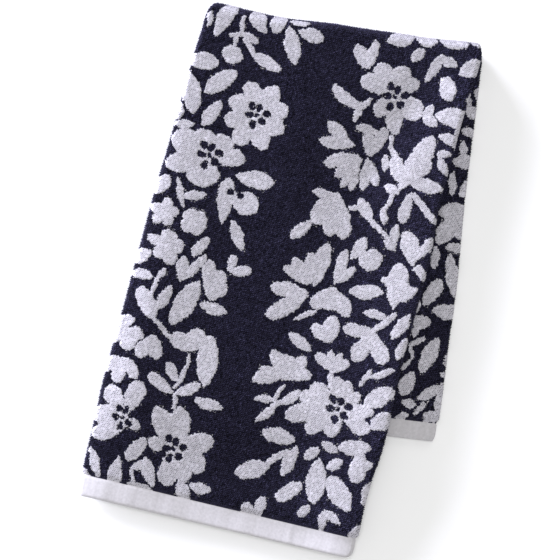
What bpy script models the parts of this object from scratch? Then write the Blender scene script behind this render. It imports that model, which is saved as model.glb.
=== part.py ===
"""A terry hand towel with plain woven hems, folded and lying flat. Metres, +Z up.

Both long sides are turned under until they meet along the middle, and the strip that this gives
is folded across. The front half's length runs along Y, with the fold at +Y. The origin is in the
middle of the footprint, on the surface that the towel lies on.
"""

import collections
import math

import bpy
import numpy as np

MM = 0.001

# The cloth laid out flat
CLOTH_WIDTH = 451 * MM
CLOTH_LENGTH = 760 * MM
TERRY_THICK = 3.0 * MM
HEM_THICK = 2.0 * MM
HEM_WIDTH = 17 * MM
PILE_END = 3 * MM  # the length over which the pile falls away at a hem

# The folds along the cloth, which make a strip two layers thick
STRIP_WIDTH = 228 * MM
HEM_DRAW_IN = 1.5 * MM  # how much further in the thinner hems lie, on each side
CORNER_DRAW_IN = 2.5 * MM  # and how much further again their corners lie
CORNER_REACH = 6 * MM
LAYER_GAP = 0.8 * MM

# The fold across the strip
FRONT_LENGTH = 422 * MM  # from the front hem to the fold's outer edge
FOLD_SKEW = math.radians(3.77)  # so that the back half turns out by twice as much
FOLD_HEIGHT = 17.4 * MM
FOLD_SETTLE = 35 * MM  # the length over which the fold's bulge goes down to the flat layers
FOLD_CORNER = 9 * MM
FOLD_CORNER_DRAW_IN = 0.03
STRIP_GAP = 2.0 * MM

# How the front half comes down to the surface past the back half
EDGE_CLEARANCE = 4 * MM
DROP_LENGTH = 36 * MM
HEM_SKEW = math.radians(1.3)
HEM_SKEW_REACH = 90 * MM

# The faces: their length along each half, and how many run round a fold or over a stretch
FRONT_ROW = 13 * MM
BACK_ROW = 18 * MM
FOLD_SEGMENTS = 24
HALF_MIDDLE_SEGMENTS = 6
TURN_SEGMENTS = 4
FLAP_SEGMENTS = 4

TERRY_COLOUR = (0.022, 0.020, 0.043, 1)
TERRY_ROUGHNESS = 0.95

EdgeRow = collections.namedtuple("EdgeRow", "along left right")
FoldRow = collections.namedtuple("FoldRow", "across out")
Puff = collections.namedtuple("Puff", "x0 y0 x1 y1 half_width rise")

# How far the strip's two edges wander to the right, in mm, by the distance from the front hem
EDGE_ROWS = (
    EdgeRow(along=0, left=1.0, right=-0.5),
    EdgeRow(along=50, left=-0.2, right=-1.8),
    EdgeRow(along=100, left=-1.9, right=1.5),
    EdgeRow(along=150, left=-1.2, right=-0.5),
    EdgeRow(along=245, left=-0.8, right=1.2),
    EdgeRow(along=295, left=0.6, right=-2.0),
    EdgeRow(along=345, left=1.2, right=-1.0),
    EdgeRow(along=422, left=3.0, right=2.6),
    EdgeRow(along=490, left=1.0, right=1.8),
    EdgeRow(along=560, left=0.0, right=0.8),
    EdgeRow(along=630, left=1.0, right=1.8),
    EdgeRow(along=700, left=-0.5, right=0.2),
    EdgeRow(along=760, left=0.5, right=-1.2),
)

# How far the fold's outer edge wanders, in mm, by the distance from the strip's middle
FOLD_WANDER = (
    FoldRow(across=-114, out=-1.0),
    FoldRow(across=-50, out=-3.8),
    FoldRow(across=0, out=-0.8),
    FoldRow(across=60, out=0.8),
    FoldRow(across=114, out=4.2),
)
WANDER_REACH = 70 * MM

# Soft ridges and troughs of the front half, in mm, each along a line from (x0, y0) to (x1, y1)
PUFFS = (
    Puff(x0=104, y0=385, x1=98, y1=60, half_width=15, rise=2.0),
    Puff(x0=-101, y0=380, x1=-103, y1=40, half_width=13, rise=1.4),
    Puff(x0=78, y0=400, x1=50, y1=300, half_width=15, rise=-1.6),
    Puff(x0=38, y0=385, x1=18, y1=350, half_width=30, rise=2.4),
    Puff(x0=-40, y0=370, x1=-14, y1=220, half_width=30, rise=1.6),
    Puff(x0=86, y0=330, x1=70, y1=255, half_width=16, rise=1.5),
    Puff(x0=60, y0=200, x1=66, y1=90, half_width=26, rise=1.2),
    Puff(x0=-70, y0=300, x1=-66, y1=180, half_width=24, rise=0.9),
    Puff(x0=-20, y0=28, x1=70, y1=34, half_width=14, rise=1.0),
)

ARC_OUTER = FOLD_HEIGHT / 2
ARC_MIDDLE = ARC_OUTER - TERRY_THICK / 2
ARC_HALF_LENGTH = math.pi / 2 * ARC_MIDDLE
ARC_SLACK = ARC_HALF_LENGTH - ARC_OUTER
BACK_LENGTH = CLOTH_LENGTH - FRONT_LENGTH - 2 * ARC_SLACK
STRIP_THICK = 2 * TERRY_THICK + LAYER_GAP

FOLD_LINE = np.array([math.cos(FOLD_SKEW), math.sin(FOLD_SKEW)])
FOLD_OUT = np.array([-math.sin(FOLD_SKEW), math.cos(FOLD_SKEW)])
BACK_ACROSS = np.array([math.cos(2 * FOLD_SKEW), math.sin(2 * FOLD_SKEW)])
BACK_ALONG = np.array([math.sin(2 * FOLD_SKEW), -math.cos(2 * FOLD_SKEW)])


def smooth(x):
    """0 below 0, 1 above 1, and an even S between."""
    x = np.clip(x, 0, 1)
    return x * x * (3 - 2 * x)


def through_rows(at, stations, values):
    """A curve through a table's rows, level at each of them."""
    stations = np.asarray(stations, float) * MM
    values = np.asarray(values, float) * MM
    i = np.clip(np.searchsorted(stations, at) - 1, 0, len(stations) - 2)
    share = smooth((at - stations[i]) / (stations[i + 1] - stations[i]))
    return values[i] + (values[i + 1] - values[i]) * share


def terry_share(along):
    """1 where the cloth is terry and 0 on the hems."""
    from_end = np.minimum(along, CLOTH_LENGTH - along)
    return smooth((from_end - HEM_WIDTH) / PILE_END)


def thickness(along):
    return HEM_THICK + (TERRY_THICK - HEM_THICK) * terry_share(along)


def cross_section(u, along):
    """Where the cloth's point u, from its middle, lies in the strip: across, depth and normal."""
    thick = thickness(along)
    turn = (thick + LAYER_GAP) / 2
    from_end = np.minimum(along, CLOTH_LENGTH - along)
    draw_in = HEM_DRAW_IN * (1 - terry_share(along))
    draw_in = draw_in + CORNER_DRAW_IN * (1 - smooth(from_end / CORNER_REACH))
    half = STRIP_WIDTH / 2 - draw_in - turn - thick / 2
    side = np.sign(u)
    past = np.abs(u) - half
    angle = np.clip(past / turn, 0, math.pi)
    flap = np.maximum(past - math.pi * turn, 0)
    across = side * (np.minimum(np.abs(u), half) + turn * np.sin(angle) - flap)
    depth = turn * (np.cos(angle) - 1)
    return across, depth, side * np.sin(angle), np.cos(angle)


def puff_height(x, y):
    """The front half's soft ridges and troughs."""
    total = np.zeros_like(x)
    for puff in PUFFS:
        ax, ay = puff.x0 * MM, puff.y0 * MM
        bx, by = puff.x1 * MM - ax, puff.y1 * MM - ay
        share = np.clip(((x - ax) * bx + (y - ay) * by) / (bx * bx + by * by), 0, 1)
        away = np.hypot(x - ax - share * bx, y - ay - share * by)
        total += puff.rise * MM * np.exp(-((away / (puff.half_width * MM)) ** 2))
    return total


def lift(x, y):
    """How high the underside of the front half lies over the surface."""
    away_x, away_y = x, y - FRONT_LENGTH
    past_side = -STRIP_WIDTH / 2 - (away_x * BACK_ACROSS[0] + away_y * BACK_ACROSS[1])
    past_end = away_x * BACK_ALONG[0] + away_y * BACK_ALONG[1] - BACK_LENGTH
    over_side = 1 - smooth((past_side - EDGE_CLEARANCE) / DROP_LENGTH)
    over_end = 1 - smooth((past_end - EDGE_CLEARANCE) / DROP_LENGTH)
    return (STRIP_THICK + STRIP_GAP) * over_side * over_end


def place(across, depth, along):
    """A point of the strip, which is flat from across -w to w, folded over and laid down."""
    edge_share = (across / STRIP_WIDTH) + 0.5
    stations = [row.along for row in EDGE_ROWS]
    left = through_rows(along, stations, [row.left for row in EDGE_ROWS])
    right = through_rows(along, stations, [row.right for row in EDGE_ROWS])
    flat_y = along - FRONT_LENGTH
    to_fold = flat_y * FOLD_OUT[1] + across * FOLD_OUT[0] - ARC_SLACK
    corner = FOLD_CORNER_DRAW_IN * np.exp(-((to_fold / FOLD_CORNER) ** 2))
    x = across * (1 - corner) + left * (1 - edge_share) + right * edge_share

    line = x * FOLD_LINE[0] + flat_y * FOLD_LINE[1]
    past = x * FOLD_OUT[0] + flat_y * FOLD_OUT[1] - ARC_SLACK
    angle = np.clip(past / ARC_MIDDLE, -math.pi / 2, math.pi / 2)
    beyond_arc = np.maximum(np.abs(past) - ARC_HALF_LENGTH, 0)
    out = (ARC_MIDDLE + depth) * np.cos(angle) - ARC_OUTER - beyond_arc
    z = ARC_OUTER - (ARC_MIDDLE + depth) * np.sin(angle)

    stations = [row.across for row in FOLD_WANDER]
    wander = through_rows(line, stations, [row.out for row in FOLD_WANDER])
    out = out + wander * np.exp(-((beyond_arc / WANDER_REACH) ** 2))
    world_x = line * FOLD_LINE[0] + out * FOLD_OUT[0]
    world_y = FRONT_LENGTH + line * FOLD_LINE[1] + out * FOLD_OUT[1]

    front = past < 0
    thick = thickness(along)
    settled = smooth(beyond_arc / FOLD_SETTLE)
    top_layer = thick + LAYER_GAP + thick / 2
    front_level = top_layer + lift(world_x, world_y) + puff_height(world_x, world_y)
    level = np.where(front, front_level, thick / 2)
    arc_level = np.where(front, ARC_OUTER + ARC_MIDDLE, ARC_OUTER - ARC_MIDDLE)
    z = z + (level - arc_level) * np.where(front, settled, beyond_arc > 0)
    skewed = np.where(front, np.exp(-along / HEM_SKEW_REACH), 0)
    world_y = world_y + math.tan(HEM_SKEW) * world_x * skewed
    return np.stack([world_x, world_y, z], axis=-1)


def columns():
    """The cloth's points from its middle at which the faces across the strip meet."""
    turn = (TERRY_THICK + LAYER_GAP) / 2
    half = STRIP_WIDTH / 2 - turn - TERRY_THICK / 2
    turned = half + math.pi * turn
    middle = np.linspace(0, half, HALF_MIDDLE_SEGMENTS + 1)
    turns = np.linspace(half, turned, TURN_SEGMENTS + 1)
    flap = np.linspace(turned, CLOTH_WIDTH / 2, FLAP_SEGMENTS + 1)
    one_side = np.concatenate([middle, turns[1:], flap[1:]])
    return np.concatenate([-one_side[:0:-1], one_side])


def rows():
    """The distances from the front hem at which the faces along the strip meet."""
    hem = np.array([0, CORNER_REACH / 2, CORNER_REACH, HEM_WIDTH, HEM_WIDTH + PILE_END])
    skew_reach = STRIP_WIDTH / 2 * math.sin(FOLD_SKEW)
    fold = FRONT_LENGTH + ARC_SLACK
    fold_reach = ARC_HALF_LENGTH + skew_reach
    around_fold = fold + np.linspace(-fold_reach, fold_reach, FOLD_SEGMENTS + 1)
    front_count = round((around_fold[0] - hem[-1]) / FRONT_ROW)
    front = np.linspace(hem[-1], around_fold[0], front_count + 1)
    back_end = CLOTH_LENGTH - hem[-1]
    back_count = round((back_end - around_fold[-1]) / BACK_ROW)
    back = np.linspace(around_fold[-1], back_end, back_count + 1)
    return np.concatenate([hem, front[1:], around_fold[1:], back[1:], CLOTH_LENGTH - hem[-2::-1]])


def towel_points(u, along):
    """The face side's points and the reverse side's points, as two grids."""
    along, u = np.meshgrid(along, u, indexing="ij")
    across, depth, normal_across, normal_depth = cross_section(u, along)
    half = thickness(along) / 2
    face = place(across + half * normal_across, depth + half * normal_depth, along)
    reverse = place(across - half * normal_across, depth - half * normal_depth, along)
    return face, reverse


def closed_faces(row_count, column_count):
    """Faces over both grids of points, and over the four edges between them."""
    size = row_count * column_count
    index = np.arange(size).reshape(row_count, column_count)
    a, b, c, d = index[:-1, :-1], index[:-1, 1:], index[1:, 1:], index[1:, :-1]
    face = np.stack([a, b, c, d], axis=-1).reshape(-1, 4)
    rim = np.concatenate([index[0, :-1], index[:-1, -1], index[-1, :0:-1], index[:0:-1, 0]])
    following = np.roll(rim, -1)
    edges = np.stack([following, rim, rim + size, following + size], axis=-1)
    return np.concatenate([face, face[:, ::-1] + size, edges])


def terry_material():
    material = bpy.data.materials.new("terry")
    material.use_nodes = True
    shader = material.node_tree.nodes["Principled BSDF"]
    shader.inputs["Base Color"].default_value = TERRY_COLOUR
    shader.inputs["Roughness"].default_value = TERRY_ROUGHNESS
    shader.inputs["Metallic"].default_value = 0
    return material


def build_towel():
    along, u = rows(), columns()
    points = np.stack(towel_points(u, along)).reshape(-1, 3)
    lowest, highest = points.min(axis=0), points.max(axis=0)
    middle = (lowest + highest) / 2
    points = points - [middle[0], middle[1], lowest[2]]
    faces = closed_faces(len(along), len(u))
    mesh = bpy.data.meshes.new("towel")
    mesh.from_pydata(points.tolist(), [], faces.tolist())
    mesh.materials.append(terry_material())
    mesh.shade_smooth()
    towel = bpy.data.objects.new("towel", mesh)
    bpy.context.scene.collection.objects.link(towel)


for old in list(bpy.data.objects):
    bpy.data.objects.remove(old)
build_towel()
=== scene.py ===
"""The looks of a folded terry hand towel: its woven cloth, its looped pile, the flowers woven into
both, the floor, the light and the camera.

A point of the cloth is given by u, from the middle of its width, and along, from the front hem.
Everything is in metres, apart from the tables and the pattern, which are in millimetres.
"""

import collections
import math

import bpy
import numpy as np
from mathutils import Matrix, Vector


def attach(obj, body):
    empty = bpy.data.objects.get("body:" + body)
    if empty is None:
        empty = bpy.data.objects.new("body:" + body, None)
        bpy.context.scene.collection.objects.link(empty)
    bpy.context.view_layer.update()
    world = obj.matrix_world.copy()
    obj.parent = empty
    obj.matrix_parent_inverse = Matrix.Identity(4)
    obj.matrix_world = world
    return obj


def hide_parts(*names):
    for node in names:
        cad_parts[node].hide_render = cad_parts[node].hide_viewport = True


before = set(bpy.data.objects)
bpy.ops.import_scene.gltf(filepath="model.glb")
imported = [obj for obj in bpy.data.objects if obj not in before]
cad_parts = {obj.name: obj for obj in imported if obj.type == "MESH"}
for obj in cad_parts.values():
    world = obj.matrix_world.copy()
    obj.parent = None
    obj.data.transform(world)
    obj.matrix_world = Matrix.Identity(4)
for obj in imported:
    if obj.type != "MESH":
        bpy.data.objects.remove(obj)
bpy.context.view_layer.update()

MM = 0.001

# ---- The cloth and its folds: the solid's, with more small forms ----

CLOTH_WIDTH = 451 * MM
CLOTH_LENGTH = 757.5 * MM
TERRY_THICK = 3.0 * MM
HEM_THICK = 2.0 * MM
FRONT_HEM_WIDTH = 17 * MM
BACK_HEM_WIDTH = 15 * MM
PILE_END = 3 * MM

STRIP_WIDTH = 228 * MM
HEM_DRAW_IN = 1.5 * MM
CORNER_DRAW_IN = 1.2 * MM
CORNER_REACH = 6 * MM
ROUND_CORNER = 5 * MM  # the radius of the front hem's right corner
ROUND_CORNER_SPREAD = 16 * MM  # how far from the right edge the cloth is drawn in with it
LAYER_GAP = 0.8 * MM

FRONT_LENGTH = 422 * MM
FOLD_SKEW = math.radians(3.77)
FOLD_HEIGHT = 17.4 * MM
FOLD_SETTLE = 35 * MM  # the length over which the front half comes down from the fold
FOLD_CORNER = 9 * MM  # how near the fold its ends are drawn in, and by what share
FOLD_CORNER_DRAW_IN = 0.03
STRIP_GAP = 2.0 * MM

EDGE_CLEARANCE = 4 * MM  # how far past the back half's left side the front starts to come down
END_CLEARANCE = -15 * MM  # and how far past its end: before it, over its thinner hem
DROP_LENGTH = 75 * MM
FRONT_HEM_RISE = 0.9 * MM  # keeps the front hem nearly level with the terry, which is thicker
HEM_HELD_UP = 0.38  # the share of its height that the stiff front half keeps at its hem
HEM_TILT = 0.006  # how the front hem slopes down towards its right end
HEM_END_SAG = 2.6 * MM  # how much lower still that end lies, and over what length
HEM_END_REACH = 57 * MM
HEM_SAG_START = 26 * MM  # how far from the cloth's end both begin, and how soon they are full
HEM_SAG_REACH = 14 * MM
HEM_SKEW = math.radians(1.3)  # how far the front hem turns, less and less towards the fold
HEM_SKEW_REACH = 90 * MM

# Where the middle of the front hem lies in the frame that the parts share
FRONT_HEM_MIDDLE = np.array([-18.849, -215.451, 0]) * MM

EdgeRow = collections.namedtuple("EdgeRow", "along left right")
FoldRow = collections.namedtuple("FoldRow", "across out")
Puff = collections.namedtuple("Puff", "x0 y0 x1 y1 half_width rise")

# How far each side edge lies to the right of a straight one, in mm
EDGE_ROWS = (
    EdgeRow(0, 1.0, -0.5),
    EdgeRow(50, -0.2, -1.8),
    EdgeRow(100, -1.9, 1.5),
    EdgeRow(150, -1.2, -0.5),
    EdgeRow(245, -0.8, 1.2),
    EdgeRow(295, 0.6, -2.0),
    EdgeRow(345, 1.2, -1.0),
    EdgeRow(422, 3.0, 2.6),
    EdgeRow(490, 1.0, 1.8),
    EdgeRow(560, 0.0, 0.8),
    EdgeRow(630, 1.0, 1.8),
    EdgeRow(700, -0.5, 0.2),
    EdgeRow(760, 0.5, -1.2),
)

# How far the fold lies out past a straight line, in mm
FOLD_WANDER = (
    FoldRow(-114, -1.0),
    FoldRow(-50, -3.8),
    FoldRow(0, -0.8),
    FoldRow(60, 0.8),
    FoldRow(114, 4.2),
)
WANDER_REACH = 70 * MM

# The front half's soft ridges and troughs, each along a line from (x0, y0) to (x1, y1), in mm
PUFFS = (
    Puff(116, 385, 112, -5, 27, 4.0),
    Puff(106, 60, 104, 0, 40, 1.2),
    Puff(4, 330, 12, 60, 62, -1.5),
    Puff(-101, 380, -103, 190, 13, 0.4),
    Puff(-99, 170, -96, 10, 17, 1.3),
    Puff(78, 400, 50, 300, 15, -1.6),
    Puff(38, 385, 18, 350, 30, 2.4),
    Puff(-30, 370, 0, 225, 30, 1.6),
    Puff(86, 330, 70, 255, 16, 1.5),
    Puff(64, 190, 86, 50, 30, 1.2),
    Puff(-82, 330, -84, 150, 24, 0.9),
    Puff(-90, 75, -62, 20, 22, 1.0),
    Puff(-20, 28, 70, 34, 14, 0.6),
    Puff(-20, 358, -2, 285, 40, 1.2),
    Puff(-5, 110, -5, 80, 26, 0.9),
    Puff(112, 95, 110, 70, 24, 0.8),
)

ARC_OUTER = FOLD_HEIGHT / 2
ARC_MIDDLE = ARC_OUTER - TERRY_THICK / 2
ARC_HALF_LENGTH = math.pi / 2 * ARC_MIDDLE
ARC_SLACK = ARC_HALF_LENGTH - ARC_OUTER  # the length that each half loses in the bend
BACK_LENGTH = CLOTH_LENGTH - FRONT_LENGTH - 2 * ARC_SLACK
STRIP_THICK = 2 * TERRY_THICK + LAYER_GAP

FOLD_LINE = np.array([math.cos(FOLD_SKEW), math.sin(FOLD_SKEW)])
FOLD_OUT = np.array([-math.sin(FOLD_SKEW), math.cos(FOLD_SKEW)])
BACK_ACROSS = np.array([math.cos(2 * FOLD_SKEW), math.sin(2 * FOLD_SKEW)])
BACK_ALONG = np.array([math.sin(2 * FOLD_SKEW), -math.cos(2 * FOLD_SKEW)])

# A wave's heading is in degrees, its length and size are in mm, and its start is in radians.
Wave = collections.namedtuple("Wave", "heading length size start")

# The front half's small ripples, which the solid leaves out
RIPPLES = (
    Wave(20, 47, 0.16, 0.3),
    Wave(75, 61, 0.20, 1.9),
    Wave(130, 38, 0.13, 4.1),
    Wave(158, 83, 0.20, 2.6),
    Wave(100, 29, 0.10, 5.2),
)


def smooth(x):
    """0 below 0, 1 above 1, and an even S between."""
    x = np.clip(x, 0, 1)
    return x * x * (3 - 2 * x)


def wave(row, x, y):
    """How a wave goes up and down, from -1 to 1, on its way along its heading."""
    heading = math.radians(row.heading)
    travel = (x * math.cos(heading) + y * math.sin(heading)) / (row.length * MM)
    return np.sin(2 * math.pi * travel + row.start)


def through_rows(at, rows, station, value):
    """A curve through a table's values at its stations, level at each of them."""
    stations = np.array([getattr(row, station) for row in rows]) * MM
    values = np.array([getattr(row, value) for row in rows]) * MM
    i = np.clip(np.searchsorted(stations, at) - 1, 0, len(stations) - 2)
    share = smooth((at - stations[i]) / (stations[i + 1] - stations[i]))
    return values[i] + (values[i + 1] - values[i]) * share


def past_hem(along):
    """How far a point is past the inner edge of the nearer hem. On the hem it is negative."""
    return np.minimum(along - FRONT_HEM_WIDTH, CLOTH_LENGTH - BACK_HEM_WIDTH - along)


def terry_share(along):
    """1 where the cloth is terry and 0 on the hems."""
    return smooth(past_hem(along) / PILE_END)


def thickness(along):
    return HEM_THICK + (TERRY_THICK - HEM_THICK) * terry_share(along)


def cross_section(u, along):
    """Where the cloth's point u, from its middle, lies in the strip: across, depth and normal."""
    thick = thickness(along)
    turn = (thick + LAYER_GAP) / 2
    from_end = np.minimum(along, CLOTH_LENGTH - along)
    draw_in = HEM_DRAW_IN * (1 - terry_share(along))
    draw_in = draw_in + CORNER_DRAW_IN * (1 - smooth(from_end / CORNER_REACH))
    half = STRIP_WIDTH / 2 - draw_in - turn - thick / 2
    side = np.sign(u)
    past = np.abs(u) - half
    angle = np.clip(past / turn, 0, math.pi)
    flap = np.maximum(past - math.pi * turn, 0)
    across = side * (np.minimum(np.abs(u), half) + turn * np.sin(angle) - flap)
    depth = turn * (np.cos(angle) - 1)
    return across, depth, side * np.sin(angle), np.cos(angle)


def puff_height(x, y):
    """How far the front half rises in its soft ridges. In the troughs it is below 0."""
    total = np.zeros_like(x)
    for puff in PUFFS:
        ax, ay = puff.x0 * MM, puff.y0 * MM
        bx, by = puff.x1 * MM - ax, puff.y1 * MM - ay
        share = np.clip(((x - ax) * bx + (y - ay) * by) / (bx * bx + by * by), 0, 1)
        away = np.hypot(x - ax - share * bx, y - ay - share * by)
        total += puff.rise * MM * np.exp(-((away / (puff.half_width * MM)) ** 2))
    return total


def ripple_height(x, y):
    """How far the cloth rises in small waves. It never sinks."""
    total = np.zeros_like(x)
    for ripple in RIPPLES:
        total += ripple.size * MM * (1 + wave(ripple, x, y)) / 2
    return total


def lift(x, y):
    """How high the underside of the front half lies over the surface."""
    away_x, away_y = x, y - FRONT_LENGTH
    past_side = -STRIP_WIDTH / 2 - (away_x * BACK_ACROSS[0] + away_y * BACK_ACROSS[1])
    past_end = away_x * BACK_ALONG[0] + away_y * BACK_ALONG[1] - BACK_LENGTH
    over_side = 1 - smooth((past_side - EDGE_CLEARANCE) / DROP_LENGTH)
    over_end = 1 - (1 - HEM_HELD_UP) * smooth((past_end - END_CLEARANCE) / DROP_LENGTH)
    return (STRIP_THICK + STRIP_GAP) * over_side * over_end


def round_corner(across, along):
    """How far the front hem's right corner is drawn in."""
    share = np.clip(1 - along / ROUND_CORNER, 0, 1)
    near = smooth((across - STRIP_WIDTH / 2) / ROUND_CORNER_SPREAD + 1)
    return ROUND_CORNER * (1 - np.sqrt(1 - share**2)) * near


def hem_sag(across, along):
    """How far the front hem, and the terry next to it, lie below the rest."""
    to_right = STRIP_WIDTH / 2 - across
    end = HEM_END_SAG * np.clip(1 - to_right / HEM_END_REACH, 0, 1) ** 2
    sag = HEM_TILT * (STRIP_WIDTH - to_right) + end
    return sag * smooth((HEM_SAG_START - along) / HEM_SAG_REACH)


def place(across, depth, along):
    """A point of the flat strip, once that is folded across and laid down."""
    edge_share = (across / STRIP_WIDTH) + 0.5
    left = through_rows(along, EDGE_ROWS, "along", "left")
    right = through_rows(along, EDGE_ROWS, "along", "right")
    flat_y = along - FRONT_LENGTH
    to_fold = flat_y * FOLD_OUT[1] + across * FOLD_OUT[0] - ARC_SLACK
    corner = FOLD_CORNER_DRAW_IN * np.exp(-((to_fold / FOLD_CORNER) ** 2))
    x = across * (1 - corner) + left * (1 - edge_share) + right * edge_share
    x = x - round_corner(across, along)

    line = x * FOLD_LINE[0] + flat_y * FOLD_LINE[1]
    past = x * FOLD_OUT[0] + flat_y * FOLD_OUT[1] - ARC_SLACK
    angle = np.clip(past / ARC_MIDDLE, -math.pi / 2, math.pi / 2)
    beyond_arc = np.maximum(np.abs(past) - ARC_HALF_LENGTH, 0)
    out = (ARC_MIDDLE + depth) * np.cos(angle) - ARC_OUTER - beyond_arc
    z = ARC_OUTER - (ARC_MIDDLE + depth) * np.sin(angle)

    wander = through_rows(line, FOLD_WANDER, "across", "out")
    out = out + wander * np.exp(-((beyond_arc / WANDER_REACH) ** 2))
    world_x = line * FOLD_LINE[0] + out * FOLD_OUT[0]
    world_y = FRONT_LENGTH + line * FOLD_LINE[1] + out * FOLD_OUT[1]

    front = past < 0
    thick = thickness(along)
    settled = smooth(beyond_arc / FOLD_SETTLE)
    unevenness = puff_height(world_x, world_y) + ripple_height(world_x, world_y)
    front_level = thick + LAYER_GAP + thick / 2 + lift(world_x, world_y) + unevenness
    front_level = front_level + FRONT_HEM_RISE * (1 - terry_share(along)) - hem_sag(across, along)
    level = np.where(front, front_level, thick / 2)
    arc_level = np.where(front, ARC_OUTER + ARC_MIDDLE, ARC_OUTER - ARC_MIDDLE)
    z = z + (level - arc_level) * np.where(front, settled, beyond_arc > 0)
    skewed = np.where(front, np.exp(-along / HEM_SKEW_REACH), 0)
    world_y = world_y + math.tan(HEM_SKEW) * world_x * skewed
    return np.stack([world_x, world_y, z], axis=-1)


def cloth_points(u, along, off):
    """Points of the shared frame. off is the distance from the cloth's middle, towards its face."""
    across, depth, normal_across, normal_depth = cross_section(u, along)
    points = place(across + off * normal_across, depth + off * normal_depth, along)
    return points + FRONT_HEM_MIDDLE


# ---- The pattern: pale flowers, leaves and stems on navy, in mm of the flat cloth ----

# A shape of the pattern starts at (x, y) and runs along its heading. It is widest at a share of
# its length that grows with swell, and the smaller its point is, the blunter its ends are.
Blade = collections.namedtuple("Blade", "x y heading length width swell point bulge")

# What the tables hold. Headings are in degrees, from the cloth's width towards the fold.
Leaf = collections.namedtuple("Leaf", "x y heading length width")  # (x, y) is its middle
Petal = collections.namedtuple("Petal", "x y heading length width")  # (x, y) is its root
Rosette = collections.namedtuple("Rosette", "x y heading reach count width")
Flower = collections.namedtuple("Flower", "x y reach_x reach_y count heading width stamens")
Stem = collections.namedtuple("Stem", "x0 y0 x1 y1 bulge width")
Stamens = collections.namedtuple("Stamens", "x y reach")
Spot = collections.namedtuple("Spot", "x y radius")

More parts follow.
